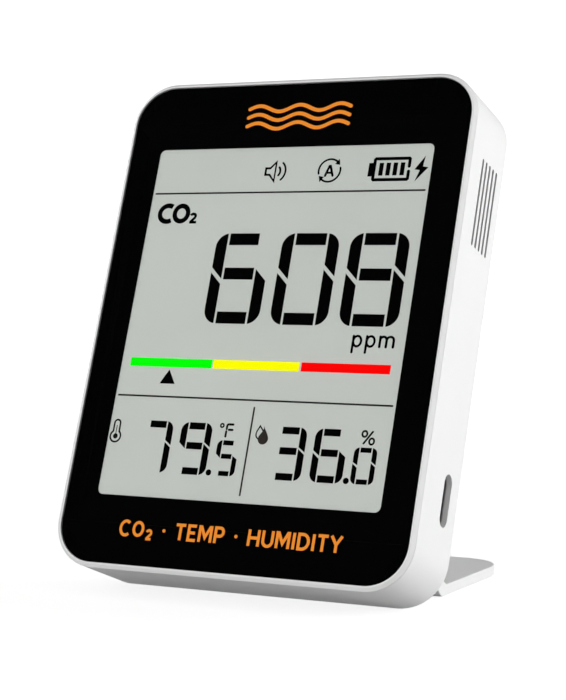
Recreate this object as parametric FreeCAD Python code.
import FreeCAD, Part
import math
import os

# Desk air quality monitor on a fold-out stand. Millimetres.
#
# The instrument is modelled upright in its own case axes:
#   X  left to right seen from the front, 0 on the centre line
#   Y  depth, 0 at the front rim and CASE_D at the back face
#   Z  height, 0 at the bottom face and CASE_H at the top face
# It is then leaned back by LEAN about its rear bottom edge, the heel, and set on the desk
# at Z = 0. The stand is modelled unfolded and flat on the desk, with Y measured from the
# heel, and the whole footprint is centred on the origin.

V = FreeCAD.Vector
COS45 = math.sqrt(0.5)
PAST = 0.1               # how far a cutting tool runs past the face it opens

# ---------------------------------------------------------------- case
CASE_W, CASE_H, CASE_D = 71.9, 95.35, 16.7
CASE_R = 8.45            # corner radius seen from the front
RIM_CHAMFER = 0.55       # bevel round the front rim
BACK_FILLET = 0.8        # round on the back edges
SEAM_Y, SEAM_GAP = 0.70, 0.14   # parting line between front frame and rear cover
WALL = 1.6
LEAN = 20.0              # degrees
MID_Z = CASE_H / 2.0

LAP = 0.43               # the front frame steps in by this much behind the seam
SKIRT_IN = WALL + 0.13   # inset of the frame's skirt from the case outline
SKIRT_T = 1.2
SKIRT_Y1 = 4.60
FLOOR_Y1 = 2.10          # rear face of the front frame's floor
BOSS_Y1 = 13.20          # rear end of the case-screw bosses
CASE_SCREWS = [(-28.4, 89.4), (28.4, 89.4)]                            # x, z
CARRIER_POSTS = [(-20.0, 6.4), (20.0, 6.4), (-20.5, 89.0), (20.5, 89.0)]   # x, z
HOOK_X = (-12.0, 12.0)   # hooks on the lower skirt catch the rear cover
HOOK_HALF_W = 4.0
HOOK_Y0, HOOK_Y1 = 3.2, 4.2

# ---------------------------------------------------------------- lens and display stack
LENS_W, LENS_H, LENS_R = 70.0, 93.47, 7.5
LENS_GAP = 0.07
LENS_Y0, LENS_Y1 = 0.05, 0.45
LENS_CHAMFER = 0.12
FILM_Y1 = 0.50
WINDOW_W, WINDOW_H, WINDOW_R = 57.27, 68.0, 1.11
TAPE_Y1 = 0.62
TAPE_INSET = 0.4

LCD_W, LCD_H, LCD_R = 61.5, 72.5, 0.3
LCD_Y0, LCD_Y1 = 0.56, 2.60
LCD_FRONT_T = 1.0        # thickness of the full-height front pane
LCD_LEDGE = 2.4          # the rear pane is this much shorter, at the top
LIGHT_W, LIGHT_H, LIGHT_R = 60.4, 69.0, 0.8
LIGHT_Y1 = 4.60
LIGHT_DROP = 1.4         # the backlight's centre sits this far below the case centre

CARRIER_W, CARRIER_H, CARRIER_R = 65.0, 76.6, 1.6
CARRIER_Y0, CARRIER_Y1 = 4.75, 5.55      # the carrier's rear plate
TAB_R = 2.4
TAB_LOW_Z, TAB_HIGH_Z = 12.0, 83.0       # where the screw tabs merge into the carrier
RIBBON_T, RIBBON_HALF_W = 0.2, 10.0
RIBBON_Y = LCD_Y0 + LCD_FRONT_T + 0.02 + RIBBON_T / 2.0
RIBBON_PATH = [          # y, z along the middle of the ribbon
    (RIBBON_Y, 81.75), (RIBBON_Y, 83.70), (6.6, 83.70), (6.6, 86.80), (7.5, 86.80), (7.5, 87.58),
]
RIBBON_OPENING = 10.6    # half width of the carrier slot and of the board connector

# ---------------------------------------------------------------- board and battery
BOARD_Y0, BOARD_Y1 = 8.00, 9.20
BOARD_W, BOARD_H, BOARD_R = 66.4, 34.3, 4.5
BOARD_Z0 = 58.0
BOARD_SCREWS = [(-30.2, 61.2), (-30.2, 82.0), (6.4, 66.0), (30.2, 44.0), (30.2, 30.0)]   # x, z
BOSS_NOTCH = 3.1         # clearance round the case-screw bosses
CHIPS = [                # x0, x1, thickness, z0, z1 on the rear side of the board
    (-9.5, -2.5, 0.9, 66.0, 73.0),
    (0.0, 3.2, 0.75, 78.5, 80.0),
    (-27.5, -23.6, 1.0, 76.0, 81.0),
    (22.0, 25.0, 0.9, 32.0, 35.0),
    (23.4, 27.4, 1.9, 47.0, 51.0),
    (-14.2, -11.2, 0.9, 75.0, 77.6),
]
CELL_X0, CELL_X1 = -32.0, 17.6
CELL_Y0, CELL_Y1 = 5.90, 10.80
CELL_Z0, CELL_Z1 = 25.8, 55.8
CELL_FILLET = 1.9
FENCE_T = 0.8
LEAD_X, LEAD_PITCH, LEAD_R = -13.6, 1.5, 0.42

# ---------------------------------------------------------------- sensors
SENSOR_X0, SENSOR_X1 = 10.4, 31.2
SENSOR_Y0, SENSOR_Y1 = 5.75, 13.75
SENSOR_Z0, SENSOR_Z1 = 62.8, 84.0
SENSOR_FILLET = 1.2
SENSOR_MID_X = (SENSOR_X0 + SENSOR_X1) / 2.0
SENSOR_MID_Z = (SENSOR_Z0 + SENSOR_Z1) / 2.0
SEAT_R, SEAT_FILTER_R = 5.6, 4.9
INLET_Y0, INLET_T, INLET_PITCH, INLETS = 6.9, 0.7, 1.5, 4
HUMIDITY_X0, HUMIDITY_Z0, HUMIDITY_SIDE = 29.4, 59.2, 2.5

# ---------------------------------------------------------------- openings, buttons, label
PORT_Y, PORT_Z = 10.85, 18.70
PORT_L, PORT_T = 9.44, 3.40      # opening in the right side wall
PLUG_L, PLUG_T = 8.94, 3.16      # outside of the socket shell
PLUG_WALL = 0.3
SHELL_X0, SHELL_X1 = 27.6, 35.05
SHELL_FLOOR_X = 28.1
TONGUE_HALF_L = 3.35

VENT_Y = [6.20 + 1.68 * k for k in range(5)]
VENT_Z0, VENT_Z1, VENT_W = 64.3, 80.8, 0.80
SIDE_CUT_X0, SIDE_CUT_X1 = 33.0, 37.0    # reach of the tools through the right side wall
BACK_CUT_Y0, BACK_CUT_Y1 = 14.0, 17.5    # reach of the tools through the back wall

BUTTON_X = {"power": -13.0, "alarm": 0.0, "unit": 13.0}
BUTTON_Z, BUTTON_R = 88.6, 2.60
STEM_R = 1.1
STEM_TOP = BOARD_Y1 + 3.1
CAP_TOP = CASE_D + 0.45
CAP_FILLET = 0.35
DISH_R, DISH_DEPTH = 9.0, 0.22
SWITCH_HALF_W, SWITCH_T = 2.25, 2.2

BUZZER_X, BUZZER_Z, BUZZER_R = -20.0, 69.0, 4.5
GRILLE_RING_R, GRILLE_HOLE_R = 2.1, 0.5
LABEL_W, LABEL_H, LABEL_R = 32.0, 14.0, 1.0
LABEL_X, LABEL_Z = 9.0, 71.0

# ---------------------------------------------------------------- stand, hinge and recess
STAND_HALF_W = 30.0
STAND_T = 2.0
STAND_END_Y = 45.67      # from the heel to the stand's far edge
STAND_CORNER_R = 8.0
STAND_SOFTEN = 0.2       # round on the foot's outline edges
BEND_Y = 14.0            # where the underside of the foot starts to rise
BEND_TOP_Y = 16.2        # where its top face starts to rise
BEND_R, BEND_TOP_R = 2.0, 2.5            # lower bend radii, underside and top face
NECK_BEND_R = 1.0        # upper bend radius, on both faces
NECK_RISE = 1.55         # the neck runs this far above the desk, over the case's lower lip
NECK_T = 1.65
NECK_HALF_W = 25.7       # narrower than the foot, to leave room for the charging socket
NECK_LOW_Y, NECK_HIGH_Y = 0.2, 3.2       # where the neck's faces turn up to the knuckle
SHOULDER_Y = 10.9        # the foot keeps its full width down to here
SHOULDER_R = 1.2
NOTCH_HALF_W = 10.0      # gap in the stand round the cover's centre knuckle
PAD_X, PAD_Y = (-18.0, 18.0), 38.6
PAD_L, PAD_W, PAD_T = 16.0, 4.0, 0.7

HINGE_IN = 5.4           # hinge axis, measured in from the back face
STAND_SINK = 0.15        # the folded stand sits this far below the back face
KNUCKLE_R, KNUCKLE_HALF_W = 1.9, 9.6
ROD_R = 0.9
ROD_END = 28.4           # right end of the rod
ROD_ENTRY = 33.9         # the rod slides in from the left and stops just below the surface
WASHER_X0, WASHER_X1 = KNUCKLE_HALF_W + 0.05, KNUCKLE_HALF_W + 0.35

POCKET_GAP = 0.35
POCKET_FLAT = STAND_T + STAND_SINK + 0.30              # depth under the flat of the stand
POCKET_BEND = NECK_RISE + NECK_T + STAND_SINK + 0.25   # depth under the bend
POCKET_KNUCKLE = 7.70                                  # depth round the knuckles
POCKET_KNUCKLE_TOP = 11.0
POCKET_WALL = 1.3
POCKET_WALL_BEND = 0.5   # thinner floor under the bend
SCOOP_R, SCOOP_DROP = 9.0, 3.4   # finger scoop at the recess's top edge

SIN, COS = math.sin(math.radians(LEAN)), math.cos(math.radians(LEAN))
HEEL_DROP = BACK_FILLET * (SIN + COS - 1.0)   # the rounded heel touches the desk
# hinge axis in case axes, then in desk axes measured from the heel
HINGE_CASE_Y = CASE_D - HINGE_IN
HINGE_CASE_Z = (HINGE_IN * (1 - SIN) - STAND_SINK + HEEL_DROP) / COS
HINGE_Y = HINGE_CASE_Z * SIN - HINGE_IN * COS
HINGE_Z = HINGE_CASE_Z * COS + HINGE_IN * SIN - HEEL_DROP
FRONT_Y = min(RIM_CHAMFER * SIN - CASE_D * COS, -(CASE_D - RIM_CHAMFER) * COS)
DESK_SHIFT = -(STAND_END_Y + FRONT_Y) / 2.0   # centres the footprint on the origin
# heights of the folded stand's far edge and bend on the back of the case
FOLDED_END_Z = HINGE_CASE_Z + (STAND_END_Y - HINGE_Y) + POCKET_GAP
FOLDED_BEND_Z = HINGE_CASE_Z + (BEND_TOP_Y - HINGE_Y) + 0.3

os.makedirs("parts", exist_ok=True)


# ---------------------------------------------------------------- helpers
def box(x0, x1, y0, y1, z0, z1):
    return Part.makeBox(x1 - x0, y1 - y0, z1 - z0, V(x0, y0, z0))


def cyl_y(x, z, radius, y0, y1):
    return Part.makeCylinder(radius, y1 - y0, V(x, y0, z), V(0, 1, 0))


def cyls_y(places, radius, y0, y1):
    return [cyl_y(x, z, radius, y0, y1) for x, z in places]


def hinge_cyl(radius, x0, x1):
    """cylinder on the hinge axis, in case axes"""
    return Part.makeCylinder(radius, x1 - x0, V(x0, HINGE_CASE_Y, HINGE_CASE_Z), V(1, 0, 0))


def hinge_cyl_pair(radius, x0, x1):
    """the same cylinder on the right, then mirrored on the left"""
    return [hinge_cyl(radius, x0, x1), hinge_cyl(radius, -x1, -x0)]


def outline_face(legs):
    """face with a closed outline; a one-point leg is a corner, a three-point leg an arc"""
    edges = []
    for before, leg in zip(legs[-1:] + legs[:-1], legs):
        edges.append(Part.LineSegment(before[-1], leg[0]).toShape())
        if len(leg) == 3:
            edges.append(Part.Arc(*leg).toShape())
    return Part.Face(Part.Wire(edges))


def rounded(width, height, radius, y0, y1, mid_x=0.0, mid_z=MID_Z):
    """rounded rectangle in the XZ plane, swept from y0 to y1"""
    x0, x1 = mid_x - width / 2.0, mid_x + width / 2.0
    z0, z1 = mid_z - height / 2.0, mid_z + height / 2.0
    r = radius
    k = r * (1 - COS45)
    return outline_face([
        (V(x1 - r, y0, z0), V(x1 - k, y0, z0 + k), V(x1, y0, z0 + r)),
        (V(x1, y0, z1 - r), V(x1 - k, y0, z1 - k), V(x1 - r, y0, z1)),
        (V(x0 + r, y0, z1), V(x0 + k, y0, z1 - k), V(x0, y0, z1 - r)),
        (V(x0, y0, z0 + r), V(x0 + k, y0, z0 + k), V(x0 + r, y0, z0)),
    ]).extrude(V(0, y1 - y0, 0))


def case_slab(inset, y0, y1):
    """slab with the case outline, moved in by inset"""
    return rounded(CASE_W - 2 * inset, CASE_H - 2 * inset, CASE_R - inset, y0, y1)


def lens_slab(inset, y0, y1):
    """slab with the lens outline, moved in by inset"""
    return rounded(LENS_W - 2 * inset, LENS_H - 2 * inset, LENS_R - inset, y0, y1)


def lcd_slab(grow, radius, y0, y1):
    """slab with the display's size plus grow"""
    return rounded(LCD_W + grow, LCD_H + grow, radius, y0, y1)


def stadium_x(y, z, length, thick, x0, x1):
    """slot with round ends, long along Z, thick along Y, swept along X"""
    radius = thick / 2.0
    half = length / 2.0 - radius
    ends = [
        Part.makeCylinder(radius, x1 - x0, V(x0, y, end_z), V(1, 0, 0))
        for end_z in (z - half, z + half)
    ]
    return fused(box(x0, x1, y - radius, y + radius, z - half, z + half), *ends)


def fused(first, *others):
    return first.fuse(list(others)).removeSplitter()


def cut(shape, *tools):
    return shape.cut(list(tools)).removeSplitter()


def edges_at_y(shape, y):
    """edges that lie wholly in the plane at y"""
    return [
        e for e in shape.Edges
        if abs(e.BoundBox.YMin - y) < 1e-4 and abs(e.BoundBox.YMax - y) < 1e-4
    ]


def edges_along_y(shape, longer_than):
    return [e for e in shape.Edges if e.BoundBox.YLength > longer_than]


def save(name, *shapes):
    """write shapes that are already in desk axes"""
    solids = [solid for shape in shapes for solid in shape.Solids]
    for solid in solids:
        assert solid.isValid() and solid.Volume > 0, name
    out = solids[0] if len(solids) == 1 else Part.makeCompound(solids)
    out.exportStep("parts/%s.step" % name)


def save_case(name, *shapes):
    """lean shapes back from case axes to desk axes, then write them"""
    leaned = []
    for shape in shapes:
        shape = shape.copy()
        shape.translate(V(0, -CASE_D, 0))
        shape.rotate(V(0, 0, 0), V(1, 0, 0), -LEAN)
        shape.translate(V(0, DESK_SHIFT, -HEEL_DROP))
        leaned.append(shape)
    save(name, *leaned)


def screw(x, z, head_y, head_r, head_t, shank_r, shank_l, slot_w=0.4, slot_depth=0.45):
    """cross-head screw along Y, driven from the back: the head's top faces +Y"""
    tip_l, tip_r = 0.6, 0.25
    groove_depth, groove_half_w, groove_pitch = 0.14, 0.12, 0.55
    top_y = head_y + head_t
    tip_y = head_y - shank_l
    head = cyl_y(x, z, head_r, head_y, top_y)
    head = head.makeFillet(min(0.35, head_t * 0.3), edges_at_y(head, top_y))
    shank = cyl_y(x, z, shank_r, tip_y + tip_l, head_y)
    tip = Part.makeCone(tip_r, shank_r, tip_l, V(x, tip_y, z), V(0, 1, 0))
    body = fused(head, shank, tip)
    y0, y1 = top_y - slot_depth, top_y + PAST
    arm, half = head_r * 0.62, slot_w / 2
    body = cut(
        body,
        box(x - arm, x + arm, y0, y1, z - half, z + half),
        box(x - half, x + half, y0, y1, z - arm, z + arm),
    )
    # thread: shallow grooves round the shank
    grooves = []
    y = head_y - 1.0
    while y > tip_y + 1.0:
        y0, y1 = y - groove_half_w, y + groove_half_w
        ring = cyl_y(x, z, shank_r + 0.5, y0, y1)
        grooves.append(ring.cut(cyl_y(x, z, shank_r - groove_depth, y0, y1)))
        y -= groove_pitch
    return cut(body, *grooves)


# ---------------------------------------------------------------- front frame
def front_frame():
    front = case_slab(0.0, 0.0, SEAM_Y)
    front = front.makeChamfer(RIM_CHAMFER, edges_at_y(front, 0.0))
    lap = case_slab(LAP, SEAM_Y - 0.05, FLOOR_Y1)
    skirt = case_slab(SKIRT_IN, FLOOR_Y1 - 0.05, SKIRT_Y1)
    skirt = skirt.cut(case_slab(SKIRT_IN + SKIRT_T, FLOOR_Y1 - PAST, SKIRT_Y1 + PAST))
    front = fused(front, lap, skirt)
    front = cut(
        front,
        lens_slab(-LENS_GAP, -PAST, TAPE_Y1),
        lcd_slab(0.4, 0.6, TAPE_Y1 - PAST, FLOOR_Y1 + PAST),
    )
    # bosses for the case screws and short posts for the display carrier
    posts = cyls_y(CASE_SCREWS, 2.7, FLOOR_Y1 - 0.3, BOSS_Y1)
    posts += cyls_y(CARRIER_POSTS, 1.9, FLOOR_Y1 - 0.3, CARRIER_Y0 - 0.03)
    holes = cyls_y(CASE_SCREWS, 0.95, 5.0, BOSS_Y1 + PAST)
    holes += cyls_y(CARRIER_POSTS, 0.80, FLOOR_Y1 + 0.2, CARRIER_Y0 + PAST)
    front = cut(fused(front, *posts), *holes)
    hooks = [
        box(x - HOOK_HALF_W, x + HOOK_HALF_W, HOOK_Y0, HOOK_Y1, SKIRT_IN - 0.55, SKIRT_IN + 0.6)
        for x in HOOK_X
    ]
    return fused(front, *hooks)


# ---------------------------------------------------------------- lens, mask, tape
def lens_sheet():
    lens = lens_slab(0.0, LENS_Y0, LENS_Y1)
    return lens.makeChamfer(LENS_CHAMFER, edges_at_y(lens, LENS_Y0))


def mask_film():
    window = rounded(WINDOW_W, WINDOW_H, WINDOW_R, LENS_Y1 - PAST, FILM_Y1 + PAST)
    return cut(lens_slab(0.0, LENS_Y1, FILM_Y1), window)


def lens_tape():
    opening = lcd_slab(1.6, 1.2, FILM_Y1 - PAST, TAPE_Y1 + PAST)
    return cut(lens_slab(TAPE_INSET, FILM_Y1, TAPE_Y1), opening)


# ---------------------------------------------------------------- display stack
def lcd_glass():
    front_y1 = LCD_Y0 + LCD_FRONT_T
    return fused(
        lcd_slab(0.0, LCD_R, LCD_Y0, front_y1),
        rounded(LCD_W, LCD_H - LCD_LEDGE, LCD_R, front_y1 - 0.05, LCD_Y1,
                mid_z=MID_Z - LCD_LEDGE / 2.0),
    )


def backlight():
    return rounded(LIGHT_W, LIGHT_H, LIGHT_R, LCD_Y1 + 0.05, LIGHT_Y1, mid_z=MID_Z - LIGHT_DROP)


def cell_fence():
    """low wall round three sides of the cell, open on the left"""
    x1 = CELL_X1 + 0.5
    z0, z1 = CELL_Z0 - 0.4, CELL_Z1 + 0.4
    y0, y1 = CARRIER_Y1 - 0.2, CARRIER_Y1 + 1.6
    return cut(
        box(CELL_X0 - 0.3, x1 + FENCE_T, y0, y1, z0 - FENCE_T, z1 + FENCE_T),
        box(CELL_X0 - 0.5, x1, y0 - PAST, y1 + PAST, z0, z1),
    )


def display_carrier():
    carrier = rounded(CARRIER_W, CARRIER_H, CARRIER_R, FLOOR_Y1 + 0.05, CARRIER_Y1)
    carrier = cut(carrier, lcd_slab(0.5, 0.5, FLOOR_Y1 - PAST, CARRIER_Y0))
    tabs = []
    for x, z in CARRIER_POSTS:
        inner = TAB_LOW_Z if z < MID_Z else TAB_HIGH_Z
        tabs.append(box(x - TAB_R, x + TAB_R, CARRIER_Y0, CARRIER_Y1, min(z, inner), max(z, inner)))
        tabs.append(cyl_y(x, z, TAB_R, CARRIER_Y0, CARRIER_Y1))
    posts = cyls_y(BOARD_SCREWS, 1.9, CARRIER_Y1 - 0.2, BOARD_Y0 - 0.03)
    ribbon_slot = box(-RIBBON_OPENING, RIBBON_OPENING,
                      CARRIER_Y0 - 3.0, CARRIER_Y1 + PAST, 83.2, 86.2)
    return cut(
        fused(carrier, *tabs, *posts, cell_fence()),
        ribbon_slot,
        *cyls_y(CARRIER_POSTS, 1.0, CARRIER_Y0 - PAST, CARRIER_Y1 + PAST),
        *cyls_y(BOARD_SCREWS, 0.75, CARRIER_Y1 + 0.1, BOARD_Y0 + PAST),
    )


def strip_outline(path, thick):
    """YZ outline of a strip of even thickness along a path with mitred corners"""
    normals = []
    for (ya, za), (yb, zb) in zip(path, path[1:]):
        length = math.hypot(yb - ya, zb - za)
        normals.append((-(zb - za) / length, (yb - ya) / length))
    left, right = [], []
    for (y, z), n0, n1 in zip(path, normals[:1] + normals, normals + normals[-1:]):
        mitre = thick / 2 / (1.0 + n0[0] * n1[0] + n0[1] * n1[1])
        dy, dz = (n0[0] + n1[0]) * mitre, (n0[1] + n1[1]) * mitre
        left.append((y + dy, z + dz))
        right.append((y - dy, z - dz))
    return left + right[::-1]


def display_ribbon():
    """off the display's rear ledge, back through the carrier and up to the board"""
    points = [V(-RIBBON_HALF_W, y, z) for y, z in strip_outline(RIBBON_PATH, RIBBON_T)]
    face = Part.Face(Part.makePolygon(points + points[:1]))
    return face.extrude(V(2 * RIBBON_HALF_W, 0, 0))


# ---------------------------------------------------------------- main board
def main_board():
    y0, y1 = BOARD_Y0 - PAST, BOARD_Y1 + PAST
    board = fused(
        rounded(BOARD_W, BOARD_H, BOARD_R, BOARD_Y0, BOARD_Y1, mid_z=BOARD_Z0 + BOARD_H / 2.0),
        box(20.6, 33.2, BOARD_Y0, BOARD_Y1, 12.6, 66.0),   # leg down the right side
    )
    corner_cuts = []
    for x, z in CASE_SCREWS:
        x0, x1 = (x - BOSS_NOTCH, x + 9.0) if x > 0 else (x - 9.0, x + BOSS_NOTCH)
        corner_cuts.append(box(x0, x1, y0, y1, z - 0.5, z + 9.0))
    return cut(
        board,
        box(9.7, 34.0, y0, y1, 62.2, 84.6),                # round the gas sensor
        *cyls_y(CASE_SCREWS, BOSS_NOTCH, y0, y1),
        *corner_cuts,
        *cyls_y(BOARD_SCREWS, 1.0, y0, y1),
        *cyls_y(CARRIER_POSTS[2:], 2.3, y0, y1),           # upper carrier screws
    )


def board_chips():
    chips = [box(x0, x1, BOARD_Y1, BOARD_Y1 + t, z0, z1) for x0, x1, t, z0, z1 in CHIPS]
    # ribbon connector, on the front side
    chips.append(box(-RIBBON_OPENING, RIBBON_OPENING, BOARD_Y0 - 1.0, BOARD_Y0, 87.6, 90.2))
    # two rows of small parts: x of the first, pitch, width, z0, z1
    rows = [(-9.0, 2.1, 1.0, 62.4, 62.9), (22.0, 1.4, 0.5, 38.0, 39.0)]
    for k in range(6):
        for first_x, pitch, width, z0, z1 in rows:
            x = first_x + pitch * k
            chips.append(box(x, x + width, BOARD_Y1, BOARD_Y1 + 0.5, z0, z1))
    return chips


# ---------------------------------------------------------------- sensors and their seals
def co2_sensor():
    sensor = box(SENSOR_X0, SENSOR_X1, SENSOR_Y0, SENSOR_Y1, SENSOR_Z0, SENSOR_Z1)
    sensor = sensor.makeFillet(SENSOR_FILLET, edges_along_y(sensor, 7.0))
    # inlet slots that face the vents, and a round filter seat on the back
    inlets = []
    for k in range(INLETS):
        y = INLET_Y0 + INLET_PITCH * k
        inlets.append(box(SENSOR_X1 - 1.0, SENSOR_X1 + 0.2, y, y + INLET_T, 65.2, 81.6))
    seat_y = SENSOR_Y1 - 0.5
    seat = cyl_y(SENSOR_MID_X, SENSOR_MID_Z, SEAT_R, seat_y, SENSOR_Y1 + 0.15)
    disc = cyl_y(SENSOR_MID_X, SENSOR_MID_Z, SEAT_FILTER_R, seat_y - 0.05, seat_y + 0.35)
    return fused(cut(sensor, *inlets, seat), disc)


def sensor_gasket():
    """frame between the sensor's inlet side and the vent filter"""
    return cut(
        box(31.25, 33.85, 5.62, 14.05, 62.6, 82.5),
        box(31.2, 33.9, 6.30, 13.40, 63.6, 81.5),
    )


def vent_filter():
    return box(33.90, 34.28, 5.35, 13.85, 63.2, 81.9)


def humidity_sensor():
    x, z, side = HUMIDITY_X0, HUMIDITY_Z0, HUMIDITY_SIDE
    return cut(
        box(x, x + side, BOARD_Y1, BOARD_Y1 + 0.9, z, z + side),
        cyl_y(x + side / 2, z + side / 2, 0.45, BOARD_Y1 + 0.4, BOARD_Y1 + 1.0),
    )


# ---------------------------------------------------------------- charging socket
def usb_socket():
    inner_l, inner_t = PLUG_L - 2 * PLUG_WALL, PLUG_T - 2 * PLUG_WALL
    return cut(
        stadium_x(PORT_Y, PORT_Z, PLUG_L, PLUG_T, SHELL_X0, SHELL_X1),
        stadium_x(PORT_Y, PORT_Z, inner_l, inner_t, SHELL_FLOOR_X, SHELL_X1 + 0.15),
    )


def usb_tongue():
    """thin tongue with a thicker root"""
    z0, z1 = PORT_Z - TONGUE_HALF_L, PORT_Z + TONGUE_HALF_L
    return fused(*[
        box(SHELL_FLOOR_X, x1, PORT_Y - half_t, PORT_Y + half_t, z0, z1)
        for x1, half_t in ((33.6, 0.35), (29.4, 0.95))
    ])


# ---------------------------------------------------------------- battery
def battery_cell():
    cell = box(CELL_X0, CELL_X1, CELL_Y0, CELL_Y1, CELL_Z0, CELL_Z1)
    upright = [e for e in cell.Edges if e.BoundBox.ZLength > 29]
    return cell.makeFillet(CELL_FILLET, upright)


def battery_pad():
    return box(CELL_X0 + 2.0, CELL_X1 - 2.0, CARRIER_Y1, CELL_Y0, 27.5, 54.0)


def battery_lead():
    """plug on the board and two wires up from the cell"""
    parts = [box(-16.2, -11.0, BOARD_Y1 + 0.02, BOARD_Y1 + 3.1, 58.4, 61.6)]
    for x in (LEAD_X - LEAD_PITCH / 2, LEAD_X + LEAD_PITCH / 2):
        start = V(x + 3.0, 8.6, 55.85)
        curve = Part.BezierCurve()
        curve.setPoles([
            start, V(x + 3.0, 8.7, 57.3), V(x + 2.0, 10.9, 56.6), V(x, 10.9, 57.2), V(x, 10.7, 58.38),
        ])
        section = Part.Wire([Part.Circle(start, V(0, 0, 1), LEAD_R).toShape()])
        parts.append(Part.Wire([curve.toShape()]).makePipeShell([section], True, True))
    return parts


# ---------------------------------------------------------------- sounder, switches, buttons
def buzzer():
    return cut(
        cyl_y(BUZZER_X, BUZZER_Z, BUZZER_R, BOARD_Y1, BOARD_Y1 + 3.4),
        cyl_y(BUZZER_X, BUZZER_Z, 1.1, BOARD_Y1 + 2.6, BOARD_Y1 + 3.6),
    )


def tact_switch(x):
    half = SWITCH_HALF_W
    body = box(x - half, x + half, BOARD_Y1, BOARD_Y1 + SWITCH_T, BUTTON_Z - half, BUTTON_Z + half)
    body = body.makeChamfer(0.35, edges_along_y(body, 2.0))
    bore = cyl_y(x, BUTTON_Z, STEM_R + 0.06, BOARD_Y1 + 0.5, BOARD_Y1 + SWITCH_T + PAST)
    return cut(body, bore)


def button_stem(x):
    return cyl_y(x, BUTTON_Z, STEM_R, BOARD_Y1 + 1.0, STEM_TOP)


def button_cap(x):
    cap = cyl_y(x, BUTTON_Z, BUTTON_R, 14.1, CAP_TOP)
    cap = cap.makeFillet(CAP_FILLET, edges_at_y(cap, CAP_TOP))
    flange = cyl_y(x, BUTTON_Z, BUTTON_R + 0.8, 14.0, 14.85)
    post = cyl_y(x, BUTTON_Z, 1.5, STEM_TOP + 0.02, 14.2)
    # a shallow finger dish in the face
    dish = Part.makeSphere(DISH_R, V(x, CAP_TOP + DISH_R - DISH_DEPTH, BUTTON_Z))
    return cut(fused(cap, flange, post), dish)


# ---------------------------------------------------------------- rear cover
def pocket(extra):
    """the stand's recess, grown by extra on the sides, the top and the floor"""
    x = STAND_HALF_W + POCKET_GAP + extra
    x_knuckle = NECK_HALF_W + POCKET_GAP + extra
    z0 = WALL - (0.9 if extra else 0.0)
    z1 = FOLDED_END_Z + extra
    y0, y1 = CASE_D - POCKET_FLAT - extra, CASE_D + 1.0
    y_bend = CASE_D - POCKET_BEND - min(extra, POCKET_WALL_BEND)
    y_knuckle = CASE_D - POCKET_KNUCKLE - extra
    radius = STAND_CORNER_R + POCKET_GAP + extra
    # the outline starts 20 below the case, so only its top corners are left round
    flat = rounded(2 * x, z1 + 20.0, radius, y0, y1, mid_z=(z1 - 20.0) / 2.0)
    flat = flat.common(box(-40, 40, 0, CASE_D + 2.0, z0, 80))
    bend = box(-x, x, y_bend, y1, z0, FOLDED_BEND_Z + extra)
    knuckles = box(-x_knuckle, x_knuckle, y_knuckle, y1, z0, POCKET_KNUCKLE_TOP + extra)
    scoop = cyl_y(0.0, FOLDED_END_Z - SCOOP_DROP, SCOOP_R + extra, y0, y1)
    return flat.fuse([bend, knuckles, scoop])


def label_slab(grow, radius, y0, y1):
    return rounded(LABEL_W + grow, LABEL_H + grow, radius, y0, y1, LABEL_X, LABEL_Z)


def cover_openings():
    tools = [hinge_cyl(ROD_R + 0.02, -37.0, ROD_END + 0.1)]
    tools.append(stadium_x(PORT_Y, PORT_Z, PORT_L, PORT_T, SIDE_CUT_X0, SIDE_CUT_X1))
    for y in VENT_Y:
        tools.append(stadium_x(y, (VENT_Z0 + VENT_Z1) / 2.0, VENT_Z1 - VENT_Z0, VENT_W,
                               SIDE_CUT_X0, SIDE_CUT_X1))
    for x, z in CASE_SCREWS:
        tools.append(cyl_y(x, z, 1.15, 10.0, BACK_CUT_Y1))
        tools.append(cyl_y(x, z, 2.25, CASE_D - 1.9, BACK_CUT_Y1))
    buttons = [(x, BUTTON_Z) for x in BUTTON_X.values()]
    tools += cyls_y(buttons, BUTTON_R + 0.15, BACK_CUT_Y0, BACK_CUT_Y1)
    # sounder grille: one hole in the middle and six round it
    grille = [(BUZZER_X, BUZZER_Z)]
    for degrees in range(0, 360, 60):
        angle = math.radians(degrees)
        grille.append((BUZZER_X + GRILLE_RING_R * math.cos(angle),
                       BUZZER_Z + GRILLE_RING_R * math.sin(angle)))
    tools += cyls_y(grille, GRILLE_HOLE_R, BACK_CUT_Y0, BACK_CUT_Y1)
    # shallow seat for the rating label
    tools.append(label_slab(0.3, LABEL_R + 0.15, CASE_D - 0.20, CASE_D + 1))
    # catches for the front frame's hooks
    half = HOOK_HALF_W + 0.3
    for x in HOOK_X:
        tools.append(box(x - half, x + half, HOOK_Y0 - 0.15, HOOK_Y1 + 0.15,
                         WALL - 0.75, WALL + 0.2))
    return tools


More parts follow.
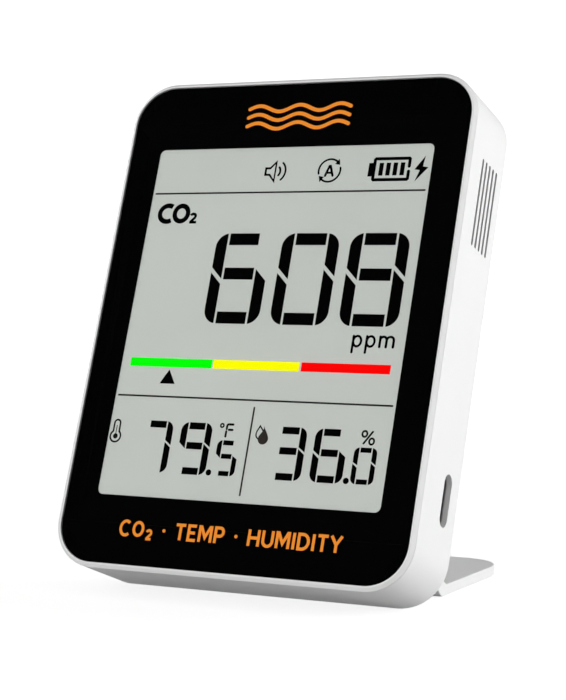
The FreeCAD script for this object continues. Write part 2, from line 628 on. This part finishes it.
def rear_cover():
    y0 = SEAM_Y + SEAM_GAP
    outer = case_slab(0.0, y0, CASE_D)
    outer = outer.makeFillet(BACK_FILLET, edges_at_y(outer, CASE_D))
    hollow = case_slab(WALL, y0 - PAST, CASE_D - WALL)
    hollow = hollow.makeFillet(0.6, edges_at_y(hollow, CASE_D - WALL))
    rebate = case_slab(LAP - 0.05, y0 - PAST, FLOOR_Y1 + 0.08)
    cover = cut(outer, hollow, rebate)
    # walls of the recess, then boss walls round the ends of the hinge rod
    inside = case_slab(0.4, 3.0, CASE_D - 0.4)
    cover = cover.fuse(pocket(POCKET_WALL).common(inside))
    rod_bosses = hinge_cyl_pair(2.5, ROD_END - 2.4, ROD_END + 0.9)
    cover = cover.fuse([boss.common(inside) for boss in rod_bosses])
    # case-screw seats
    cover = cover.fuse(cyls_y(CASE_SCREWS, 3.2, BOSS_Y1 + 0.06, CASE_D - 0.5))
    cover = cover.cut(pocket(0.0))
    # centre knuckle, on webs that join it to the bottom and the floor of the recess
    half, y, z = KNUCKLE_HALF_W, HINGE_CASE_Y, HINGE_CASE_Z
    cover = cover.fuse([
        hinge_cyl(KNUCKLE_R, -half, half),
        box(-half, half, y - KNUCKLE_R, y + KNUCKLE_R, 0.9, z),
        box(-half, half, CASE_D - POCKET_KNUCKLE - 0.4, y, z - KNUCKLE_R, z + KNUCKLE_R),
    ])
    return cut(cover, *cover_openings())


def friction_washers():
    discs = hinge_cyl_pair(KNUCKLE_R - 0.1, WASHER_X0, WASHER_X1)
    bores = hinge_cyl_pair(ROD_R + 0.02, WASHER_X0 - PAST, WASHER_X1 + PAST)
    return [cut(disc, bore) for disc, bore in zip(discs, bores)]


# ---------------------------------------------------------------- stand, Y from the heel
def on_circle(mid_y, mid_z, radius, degrees):
    """point on a circle in the YZ plane"""
    angle = math.radians(degrees)
    return V(0, mid_y + radius * math.cos(angle), mid_z + radius * math.sin(angle))


def bend_legs(start_y, low_z, high_z, low_r):
    """two arcs of a 45 degree step, from the foot's level up to the neck's"""
    lower = [on_circle(start_y, low_z + low_r, low_r, a) for a in (270, 247.5, 225)]
    rise = high_z - lower[2].z - NECK_BEND_R * (1 - COS45)
    mid_y = lower[2].y - rise - NECK_BEND_R * COS45
    mid_z = lower[2].z + rise - NECK_BEND_R * COS45
    upper = [on_circle(mid_y, mid_z, NECK_BEND_R, a) for a in (45, 67.5, 90)]
    return lower, upper


def tangent_angle(point, side):
    """angle on the knuckle where the tangent from point touches; side is -1 or 1"""
    y, z = point.y - HINGE_Y, point.z - HINGE_Z
    spread = math.degrees(math.acos(KNUCKLE_R / math.hypot(y, z)))
    return math.degrees(math.atan2(z, y)) + side * spread


def stand_profile():
    """side view: flat foot, a step up over the case's lip, and the knuckle"""
    neck_top_z = NECK_RISE + NECK_T
    under_low, under_high = bend_legs(BEND_Y, 0.0, NECK_RISE, BEND_R)
    top_low, top_high = bend_legs(BEND_TOP_Y, STAND_T, neck_top_z, BEND_TOP_R)
    neck_under = V(0, NECK_LOW_Y, NECK_RISE)
    neck_top = V(0, NECK_HIGH_Y, neck_top_z)
    low = tangent_angle(neck_under, -1)
    high = tangent_angle(neck_top, 1)
    knuckle = [
        on_circle(HINGE_Y, HINGE_Z, KNUCKLE_R, a) for a in (low, (high + low + 360.0) / 2.0, high)
    ]
    return outline_face([
        under_low, under_high, [neck_under], knuckle, [neck_top],
        top_high[::-1], top_low[::-1],
        [V(0, STAND_END_Y, STAND_T)], [V(0, STAND_END_Y, 0.0)],
    ])


def stand_plan():
    """plan outline: full-width foot with round far corners, narrower neck"""
    z, near_y = -5, -20
    corners = [           # right side: centre x, centre y, radius, start and end degrees
        (NECK_HALF_W + SHOULDER_R, SHOULDER_Y - SHOULDER_R, SHOULDER_R, 180, 90),
        (STAND_HALF_W - SHOULDER_R, SHOULDER_Y + SHOULDER_R, SHOULDER_R, 270, 360),
        (STAND_HALF_W - STAND_CORNER_R, STAND_END_Y - STAND_CORNER_R, STAND_CORNER_R, 0, 90),
    ]
    right = []
    for x, y, radius, start, end in corners:
        angles = [math.radians(a) for a in (start, (start + end) / 2.0, end)]
        right.append([V(x + radius * math.cos(a), y + radius * math.sin(a), z) for a in angles])
    left = [[V(-p.x, p.y, z) for p in arc[::-1]] for arc in right[::-1]]
    ends = [V(NECK_HALF_W, near_y, z)], [V(-NECK_HALF_W, near_y, z)]
    return outline_face([ends[0]] + right + left + [ends[1]])


def pad(x, grow, z0, z1):
    """round-ended pad, long along X, its length and width enlarged by grow"""
    radius = (PAD_W + grow) / 2.0
    half = (PAD_L + grow) / 2.0 - radius
    return fused(
        Part.makeBox(2 * half, 2 * radius, z1 - z0, V(x - half, PAD_Y - radius, z0)),
        Part.makeCylinder(radius, z1 - z0, V(x - half, PAD_Y, z0)),
        Part.makeCylinder(radius, z1 - z0, V(x + half, PAD_Y, z0)),
    )


def on_foot_rim(edge):
    """true for the foot's side, end and far-corner edges, on its top or bottom face"""
    bounds = edge.BoundBox
    if not any(abs(bounds.ZMin - z) < 1e-4 and abs(bounds.ZMax - z) < 1e-4 for z in (STAND_T, 0)):
        return False
    mid = edge.valueAt((edge.FirstParameter + edge.LastParameter) / 2.0)
    if abs(abs(mid.x) - STAND_HALF_W) < 0.02 or abs(mid.y - STAND_END_Y) < 0.02:
        return True
    return (
        abs(mid.x) > STAND_HALF_W - STAND_CORNER_R
        and mid.y > STAND_END_Y - STAND_CORNER_R
        and edge.Curve.TypeId == "Part::GeomCircle"
        and abs(edge.Curve.Radius - STAND_CORNER_R) < 0.01
    )


def softened(shape):
    """round the foot's outline edges"""
    rim = [edge for edge in shape.Edges if on_foot_rim(edge)]
    # guards the fillet: if the kernel can't make it, the stand keeps sharp edges
    try:
        done = shape.makeFillet(STAND_SOFTEN, rim)
        if done.isValid() and len(done.Solids) == 1:
            return done
    except Exception:
        pass
    return shape


def kickstand():
    stand = stand_profile().extrude(V(2 * STAND_HALF_W, 0, 0))
    stand.translate(V(-STAND_HALF_W, 0, 0))
    stand = stand.common(stand_plan().extrude(V(0, 0, 30)))
    notch = Part.makeBox(2 * NOTCH_HALF_W, 7.8, 12.0, V(-NOTCH_HALF_W, HINGE_Y - 4.0, 0.0))
    bore = Part.makeCylinder(ROD_R + 0.05, 80, V(-40, HINGE_Y, HINGE_Z), V(1, 0, 0))
    stand = cut(stand, notch, bore)
    stand = cut(stand, *[pad(x, 0.1, -0.5, PAD_T + 0.02) for x in PAD_X])
    return softened(stand)


def save_stand(name, *shapes):
    """shift shapes from the heel to the desk origin, then write them"""
    for shape in shapes:
        shape.translate(V(0, DESK_SHIFT, 0))
    save(name, *shapes)


# ---------------------------------------------------------------- write the pieces
save_case("front_frame", front_frame())
save_case("lens_sheet", lens_sheet())
save_case("mask_film", mask_film())
save_case("lens_tape", lens_tape())

save_case("lcd_glass", lcd_glass())
save_case("backlight", backlight())
save_case("display_carrier", display_carrier())
save_case("display_ribbon", display_ribbon())

save_case("main_board", main_board())
save_case("board_chips", *board_chips())
save_case("board_screws", *[
    screw(x, z, BOARD_Y1 + 0.02, head_r=1.6, head_t=0.7, shank_r=0.70, shank_l=3.2)
    for x, z in BOARD_SCREWS
])
save_case("carrier_screws", *[
    screw(x, z, CARRIER_Y1 + 0.02, head_r=1.5, head_t=0.8, shank_r=0.72, shank_l=3.0)
    for x, z in CARRIER_POSTS
])

save_case("co2_sensor", co2_sensor())
save_case("sensor_gasket", sensor_gasket())
save_case("vent_filter", vent_filter())
save_case("humidity_sensor", humidity_sensor())

save_case("usb_socket", usb_socket())
save_case("usb_tongue", usb_tongue())
save_case("battery_cell", battery_cell())
save_case("battery_pad", battery_pad())
save_case("battery_lead", *battery_lead())

save_case("buzzer", buzzer())
save_case("tact_switches", *[tact_switch(x) for x in BUTTON_X.values()])
for button, button_x in BUTTON_X.items():
    save_case("%s_stem" % button, button_stem(button_x))
    save_case("%s_button" % button, button_cap(button_x))

save_case("rear_cover", rear_cover())
save_case("rating_label", label_slab(0.0, LABEL_R, CASE_D - 0.19, CASE_D - 0.05))
save_case("case_screws", *[
    screw(x, z, CASE_D - 1.88, head_r=1.95, head_t=1.25, shank_r=0.88, shank_l=9.0,
          slot_w=0.55, slot_depth=0.75)
    for x, z in CASE_SCREWS
])
save_case("hinge_rod", hinge_cyl(ROD_R, -ROD_ENTRY, ROD_END))
save_case("friction_washers", *friction_washers())

save_stand("kickstand", kickstand())
save_stand("stand_pads", *[pad(x, 0.0, 0.0, PAD_T) for x in PAD_X])
